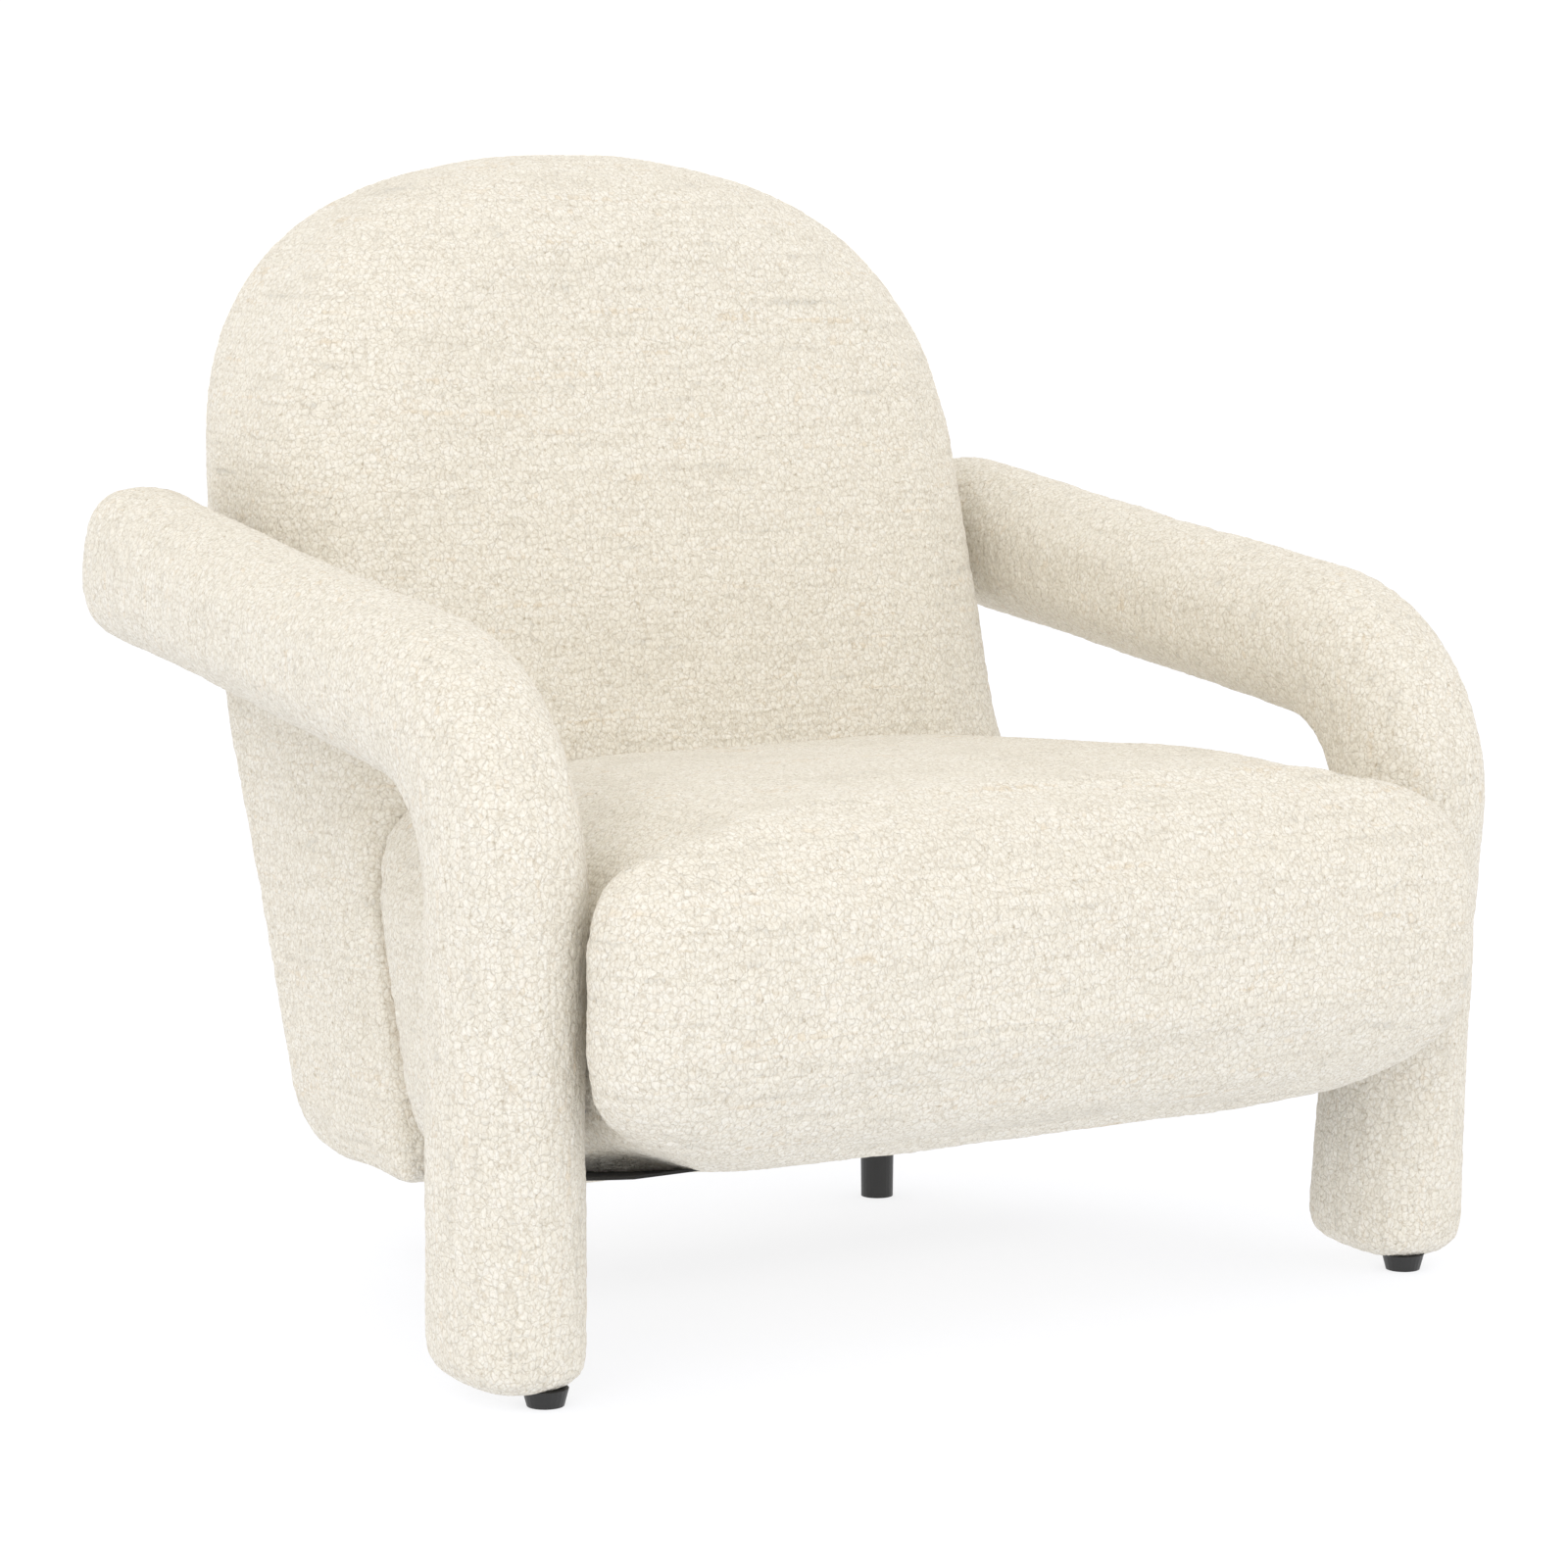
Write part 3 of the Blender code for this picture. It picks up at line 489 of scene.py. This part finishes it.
def back_outline(edge):
    """(x, z) up the right side, over the arch and down the left side, an edge's width in from the rim."""
    low, high = box("back_cover")
    start = high.z - BACK_ARCH_HEIGHT
    corner = low.z + BACK_CORNER_RADIUS
    turns = [math.radians(90 - CORNER_ANGLE_STEP * i) for i in range(CORNER_ANGLES)]
    levels = [corner - BACK_CORNER_RADIUS * math.sin(turn) for turn in turns]
    levels += [mix(corner, start - ARCH_GAP, i / SIDE_STEPS) for i in range(1, SIDE_STEPS + 1)]
    half = high.x + SKIN - edge
    points = [(half, z) for z in levels]
    for i in range(BACK_ARCH_STEPS + 1):
        angle = math.pi * i / BACK_ARCH_STEPS
        c, s = math.cos(angle), math.sin(angle)
        x = math.copysign(abs(c) ** (2 / BACK_ARCH_POWER), c) * half
        z = start + s ** (2 / BACK_ARCH_POWER) * (BACK_ARCH_HEIGHT + BACK_ARCH_RISE - edge)
        points.append((x, z))
    points += [(-x, z) for x, z in reversed(points[: len(levels)])]
    return points


def back_ring(edge, depth, from_rear):
    """One ring of the back, in from the rim by edge and from its face by depth; square low in front."""
    ring = []
    for (x, z), (full_x, _) in zip(back_outline(edge + STAND_IN), back_outline(STAND_IN)):
        softness = 1.0 if from_rear else mix(EDGE_SHARP, 1.0, smooth_step(*EDGE_SOFT_BAND, z))
        crown = softness if depth > 0 else smooth_step(*CROWN_SOFT_BAND, z)
        x = full_x + (x - full_x) * softness
        if from_rear:
            y = back_rear_y(z) - STAND_IN - depth
        else:
            y = back_front_y(z) + STAND_IN + depth * crown
        ring.append((x, y, z))
    return ring


def crown_rings(crown, edges, from_rear):
    """The rings across a face, raised towards its middle."""
    return [back_ring(edge, -crown * smooth_step(*CROWN_BAND, edge), from_rear) for edge in edges]


def rim_rings(angles, from_rear):
    """The rings round the rim, from a face out to the side."""
    rings = []
    for turn in map(math.radians, angles):
        run, fall = BACK_EDGE * (1 - math.cos(turn)), BACK_EDGE * (1 - math.sin(turn))
        rings.append(back_ring(run, fall, from_rear))
    return rings


def build_back():
    """The arched back, from the middle of its front face round the rim to the middle of its rear face."""
    rings = crown_rings(BACK_FRONT_CROWN, CROWN_EDGES, False)
    rings += rim_rings(EDGE_ANGLES, False)
    rings += rim_rings(EDGE_ANGLES[::-1], True)
    rings += crown_rings(BACK_REAR_CROWN, CROWN_EDGES[::-1], True)
    return loft("back_fabric", rings, level_caps=True)


def build_dust_cloth():
    """The thin black cloth stapled across the underside, level with the fabric's lower edge."""
    low, high = box("dust_cover")
    rings = []
    for i in range(CLOTH_STEPS + 1):
        share = i / CLOTH_STEPS
        y = mix(low.y + CLOTH_SETBACK, high.y - CLOTH_REAR_SETBACK, share)
        z = base_z(y) + CLOTH_DROP
        half = high.x + CLOTH_SPREAD * (1 - smooth_step(0.0, CLOTH_SPREAD_BY, share))
        rings.append([(-half, y, z), (half, y, z), (half, y, z + CLOTH_THICK), (-half, y, z + CLOTH_THICK)])
    return loft("dust_cloth", rings)


# ---------------------------------------------------------------- materials


class Nodes:
    """A short way to add and join shader or geometry nodes."""

    def __init__(self, tree):
        self.tree = tree

    def add(self, kind, **settings):
        node = self.tree.nodes.new(kind)
        for key, value in settings.items():
            setattr(node, key, value)
        return node

    def link(self, source, target):
        self.tree.links.new(source, target)

    def math(self, operation, a, b=None, clamp=False):
        node = self.add("ShaderNodeMath", operation=operation, use_clamp=clamp)
        for socket, value in zip(node.inputs, (a, b)):
            if value is None:
                continue
            if isinstance(value, (int, float)):
                socket.default_value = value
            else:
                self.link(value, socket)
        return node.outputs[0]

    def total(self, *terms):
        """The sum of (value, weight) pairs."""
        parts = [self.math("MULTIPLY", value, weight) for value, weight in terms]
        result = parts[0]
        for part in parts[1:]:
            result = self.math("ADD", result, part)
        return result

    def rise(self, value, start, gain):
        """A value's gain past a start, kept from 0 to 1."""
        return self.math("MULTIPLY", self.math("SUBTRACT", value, start), gain, clamp=True)

    def vector(self, operation, a, b):
        node = self.add("ShaderNodeVectorMath", operation=operation)
        for socket, value in zip(node.inputs, (a, b)):
            if isinstance(value, tuple):
                socket.default_value = value
            else:
                self.link(value, socket)
        return node.outputs[0]


def nub_field(nodes, position, size):
    """(height from 0 to 1, cell colour, bent position) of looped yarn of one size at a position."""
    wobble = nodes.add("ShaderNodeTexNoise")
    wobble.inputs["Scale"].default_value = NUB_WOBBLE_SCALE / size
    wobble.inputs["Detail"].default_value = 2.0
    nodes.link(position, wobble.inputs["Vector"])
    centred = nodes.vector("SUBTRACT", wobble.outputs["Color"], (0.5, 0.5, 0.5))
    shift = nodes.vector("MULTIPLY", centred, (NUB_WOBBLE * size,) * 3)
    bent = nodes.vector("ADD", position, shift)
    stretched = nodes.vector("MULTIPLY", bent, (1.0, 1.0, NUB_TALL))
    cells = nodes.add("ShaderNodeTexVoronoi", feature="F1")
    cells.inputs["Scale"].default_value = 1 / size
    cells.inputs["Randomness"].default_value = NUB_RANDOMNESS
    nodes.link(stretched, cells.inputs["Vector"])
    near = nodes.math("MULTIPLY", cells.outputs["Distance"], NUB_ROUND)
    squared = nodes.math("MULTIPLY", near, near)
    height = nodes.math("SUBTRACT", 1.0, squared, clamp=True)
    return height, cells.outputs["Color"], stretched


def noise_value(nodes, position, scale, detail, stretch=(1.0, 1.0, 1.0)):
    """A noise from 0 to 1, drawn out along an axis by a small stretch factor."""
    grain = nodes.add("ShaderNodeTexNoise")
    grain.inputs["Scale"].default_value = scale
    grain.inputs["Detail"].default_value = detail
    nodes.link(nodes.vector("MULTIPLY", position, stretch), grain.inputs["Vector"])
    return grain.outputs["Fac"]


def colour_ramp(nodes, value, stops):
    """The colour for a value from 0 to 1, between stops of (place, colour)."""
    ramp = nodes.add("ShaderNodeValToRGB")
    elements = ramp.color_ramp.elements
    while len(elements) < len(stops):
        elements.new(0.5)
    for element, (at, colour) in zip(elements, stops):
        element.position = at
        element.color = (*colour, 1.0)
    nodes.link(value, ramp.inputs["Fac"])
    return ramp.outputs["Color"]


def fabric_material(name, lines):
    """Boucle: loops of cream, ivory and beige yarn with shade painted dark into the pits between loops, and
    slubs drawn out as lines.
    """
    look = bpy.data.materials.new(name)
    look.use_nodes = True
    look.node_tree.nodes.clear()
    nodes = Nodes(look.node_tree)
    place = nodes.add("ShaderNodeTexCoord").outputs["Object"]
    height, cell, bent = nub_field(nodes, place, NUB)
    gaps = nodes.add("ShaderNodeTexVoronoi", feature="DISTANCE_TO_EDGE")
    gaps.inputs["Scale"].default_value = 1 / NUB
    gaps.inputs["Randomness"].default_value = NUB_RANDOMNESS
    nodes.link(bent, gaps.inputs["Vector"])
    curls = nodes.add("ShaderNodeTexVoronoi", feature="F1")
    curls.inputs["Scale"].default_value = CURLS_PER_NUB / NUB
    nodes.link(bent, curls.inputs["Vector"])
    curl = nodes.math("SUBTRACT", 1.0, curls.outputs["Distance"], clamp=True)
    fluff = noise_value(nodes, place, *FLUFF)
    slub = noise_value(nodes, place, *SLUB, lines)
    patch = noise_value(nodes, place, *PATCH)
    speck = noise_value(nodes, place, *SPECK)

    relief = nodes.total(
        (height, RELIEF_NUB), (curl, RELIEF_CURL), (fluff, RELIEF_FLUFF), (slub, RELIEF_SLUB)
    )
    split = nodes.add("ShaderNodeSeparateColor")
    nodes.link(cell, split.inputs[0])
    yarn = nodes.total((split.outputs[0], YARN_CELL), (patch, YARN_PATCH), (slub, YARN_SLUB))
    base = colour_ramp(nodes, yarn, YARN_STOPS)

    # Painted shade: the gaps between nubs and between curls are mixed towards the dark shade colour, and
    # random specks darken further
    reach = nodes.total((fluff, EDGE_FLUFF), (patch, EDGE_PATCH))
    edge = nodes.math("DIVIDE", gaps.outputs["Distance"], reach, clamp=True)
    tight = nodes.rise(curl, CURL_FROM, CURL_GAIN)
    lost = nodes.math("MULTIPLY", nodes.rise(speck, SPECK_FROM, SPECK_GAIN), PIT_SPECK)
    pit_shade_mix = nodes.math("ADD", nodes.total((edge, PIT_EDGE), (tight, PIT_CURL)), PIT_BASE)
    pit_shade_mix = nodes.math("SUBTRACT", pit_shade_mix, lost, clamp=True)
    shade = nodes.add("ShaderNodeMix", data_type="RGBA", blend_type="MIX")
    shade.inputs["A"].default_value = PIT_SHADE_COLOUR
    nodes.link(pit_shade_mix, shade.inputs["Factor"])
    nodes.link(base, shade.inputs["B"])

    bump = nodes.add("ShaderNodeBump")
    bump.inputs["Strength"].default_value = BUMP_STRENGTH
    bump.inputs["Distance"].default_value = BUMP_DEPTH
    nodes.link(relief, bump.inputs["Height"])
    shader = nodes.add("ShaderNodeBsdfPrincipled")
    for socket, value in FABRIC_SURFACE.items():
        shader.inputs[socket].default_value = value
    nodes.link(shade.outputs["Result"], shader.inputs["Base Color"])
    nodes.link(bump.outputs["Normal"], shader.inputs["Normal"])
    out = nodes.add("ShaderNodeOutputMaterial")
    nodes.link(shader.outputs["BSDF"], out.inputs["Surface"])
    return look


def plain_material(name, colour, roughness, grain_scale=0.0, grain_depth=0.0):
    """One colour, with a fine grain where a scale is given."""
    look = bpy.data.materials.new(name)
    look.use_nodes = True
    nodes = Nodes(look.node_tree)
    shader = look.node_tree.nodes["Principled BSDF"]
    shader.inputs["Base Color"].default_value = (*colour, 1.0)
    shader.inputs["Roughness"].default_value = roughness
    if grain_scale:
        grain = nodes.add("ShaderNodeTexNoise")
        grain.inputs["Scale"].default_value = grain_scale
        place = nodes.add("ShaderNodeTexCoord").outputs["Object"]
        nodes.link(place, grain.inputs["Vector"])
        bump = nodes.add("ShaderNodeBump")
        bump.inputs["Distance"].default_value = grain_depth
        nodes.link(grain.outputs["Fac"], bump.inputs["Height"])
        nodes.link(bump.outputs["Normal"], shader.inputs["Normal"])
    return look


# ---------------------------------------------------------------- nubs as real geometry


def nub_group():
    """Moves each point along its normal by the yarn's height, on a slow drift of the stuffing."""
    group = bpy.data.node_groups.new("nubs", "GeometryNodeTree")
    group.interface.new_socket("Geometry", in_out="INPUT", socket_type="NodeSocketGeometry")
    group.interface.new_socket("Geometry", in_out="OUTPUT", socket_type="NodeSocketGeometry")
    nodes = Nodes(group)
    start = nodes.add("NodeGroupInput")
    end = nodes.add("NodeGroupOutput")
    place = nodes.add("GeometryNodeInputPosition").outputs[0]
    normal = nodes.add("GeometryNodeInputNormal").outputs[0]
    height, _, _ = nub_field(nodes, place, CLUMP)
    drift = nodes.add("ShaderNodeTexNoise")
    drift.inputs["Scale"].default_value = DRIFT_SCALE
    drift.inputs["Detail"].default_value = 1.0
    nodes.link(place, drift.inputs["Vector"])
    slow = nodes.math("MULTIPLY", nodes.math("SUBTRACT", drift.outputs["Fac"], 0.5), DRIFT_HEIGHT * 2)
    clump = nodes.math("MULTIPLY", nodes.math("SUBTRACT", height, CLUMP_FLOOR), CLUMP_HEIGHT)
    rise = nodes.math("ADD", clump, slow)
    scale = nodes.add("ShaderNodeVectorMath", operation="SCALE")
    nodes.link(normal, scale.inputs[0])
    nodes.link(rise, scale.inputs["Scale"])
    move = nodes.add("GeometryNodeSetPosition")
    nodes.link(start.outputs[0], move.inputs["Geometry"])
    nodes.link(scale.outputs[0], move.inputs["Offset"])
    nodes.link(move.outputs["Geometry"], end.inputs[0])
    return group


def finish_fabric(obj, look, group, covers):
    """Gives a padded piece its nubs, its look and its place in the chair."""
    obj.data.materials.clear()
    obj.data.materials.append(look)
    fine = obj.modifiers.new("fine", "SUBSURF")
    fine.levels = 1
    fine.render_levels = 1
    nubs = obj.modifiers.new("nubs", "NODES")
    nubs.node_group = group
    apply_modifiers(obj)
    obj.data.shade_smooth()
    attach(obj, "root")
    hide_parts(*covers)


# ---------------------------------------------------------------- stage


def floor_material():
    """A pale studio sweep that glows with painted light, so that the shadow on it stays faint."""
    look = plain_material("floor_look", FLOOR_COLOUR, FLOOR_ROUGHNESS)
    shader = look.node_tree.nodes["Principled BSDF"]
    # Painted light: the floor glows, so the chair's shadow on it stays faint
    shader.inputs["Emission Color"].default_value = (1.0, 1.0, 1.0, 1.0)
    shader.inputs["Emission Strength"].default_value = FLOOR_GLOW
    shader.inputs["Specular IOR Level"].default_value = 0.0
    return look


def area_light(name, place, power):
    """A round soft light that faces the chair."""
    data = bpy.data.lights.new(name, "AREA")
    data.shape = "DISK"
    data.size = LIGHT_SIZE
    data.energy = power
    light = bpy.data.objects.new(name, data)
    light.location = place
    toward = Vector(LIGHT_TARGET) - Vector(place)
    light.rotation_euler = toward.to_track_quat("-Z", "Y").to_euler()
    bpy.context.scene.collection.objects.link(light)


def build_stage():
    """A plain pale floor, an even white surround and two soft lights."""
    mesh = bpy.data.meshes.new("floor")
    shape = bmesh.new()
    bmesh.ops.create_grid(shape, x_segments=1, y_segments=1, size=FLOOR_SIZE)
    shape.to_mesh(mesh)
    shape.free()
    floor = bpy.data.objects.new("floor", mesh)
    bpy.context.scene.collection.objects.link(floor)
    floor.data.materials.append(floor_material())

    world = bpy.data.worlds.new("studio")
    bpy.context.scene.world = world
    world.use_nodes = True
    background = world.node_tree.nodes["Background"]
    background.inputs["Color"].default_value = WORLD_COLOUR
    background.inputs["Strength"].default_value = WORLD_STRENGTH

    area_light("key", KEY_PLACE, KEY_POWER)
    area_light("fill", FILL_PLACE, FILL_POWER)


def build_camera():
    """A long lens from the front left, a little above the seat."""
    data = bpy.data.cameras.new("camera")
    data.sensor_width = SENSOR_WIDTH
    data.lens = CAMERA_LENS
    data.shift_x, data.shift_y = CAMERA_SHIFT
    camera = bpy.data.objects.new("camera", data)
    camera.location = CAMERA_PLACE
    camera.rotation_euler = (math.radians(90 - CAMERA_TILT), 0.0, math.radians(-CAMERA_TURN))
    bpy.context.scene.collection.objects.link(camera)
    bpy.context.scene.camera = camera
    bpy.context.scene.view_settings.view_transform = "Standard"


def dress_hard_parts(frame):
    """Looks for the CAD nodes that stay in view: the feet and the boards under the legs."""
    black = plain_material("black_look", *BLACK_PLASTIC)
    timber = plain_material("timber_look", *TIMBER)
    for name, node in frame["nodes"].items():
        if "glide" in name or "rear_foot" in name:
            node.data.materials[0] = black
        elif "board" in name:
            node.data.materials[0] = timber


def build_upholstery():
    """The seat, the back and the two arm-and-leg tubes, as padded pieces."""
    look = fabric_material("boucle_look", LEVEL_LINES)
    arm_look = fabric_material("boucle_arm_look", UPRIGHT_LINES)
    group = nub_group()
    arms = [(build_tube(-1, "left"), "left"), (build_tube(1, "right"), "right")]
    seat, back = build_seat(), build_back()
    for piece in (seat, back, arms[0][0], arms[1][0]):
        remesh(piece)
        inflate(piece)
        soften(piece, CLOTH_ROUNDS)
    finish_fabric(seat, look, group, ["seat_cover", "seat_foam"])
    finish_fabric(back, look, group, ["back_cover", "back_foam"])
    for piece, word in arms:
        finish_fabric(piece, arm_look, group, [f"arm_cover_{word}", f"arm_foam_{word}"])


def main():
    clear_scene()
    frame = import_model()
    build_upholstery()
    dress_hard_parts(frame)
    dust_cloth = build_dust_cloth()
    dust_cloth.data.materials.append(plain_material("black_cloth_look", *BLACK_CLOTH))
    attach(dust_cloth, "root")
    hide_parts("dust_cover")

    build_stage()
    build_camera()


main()
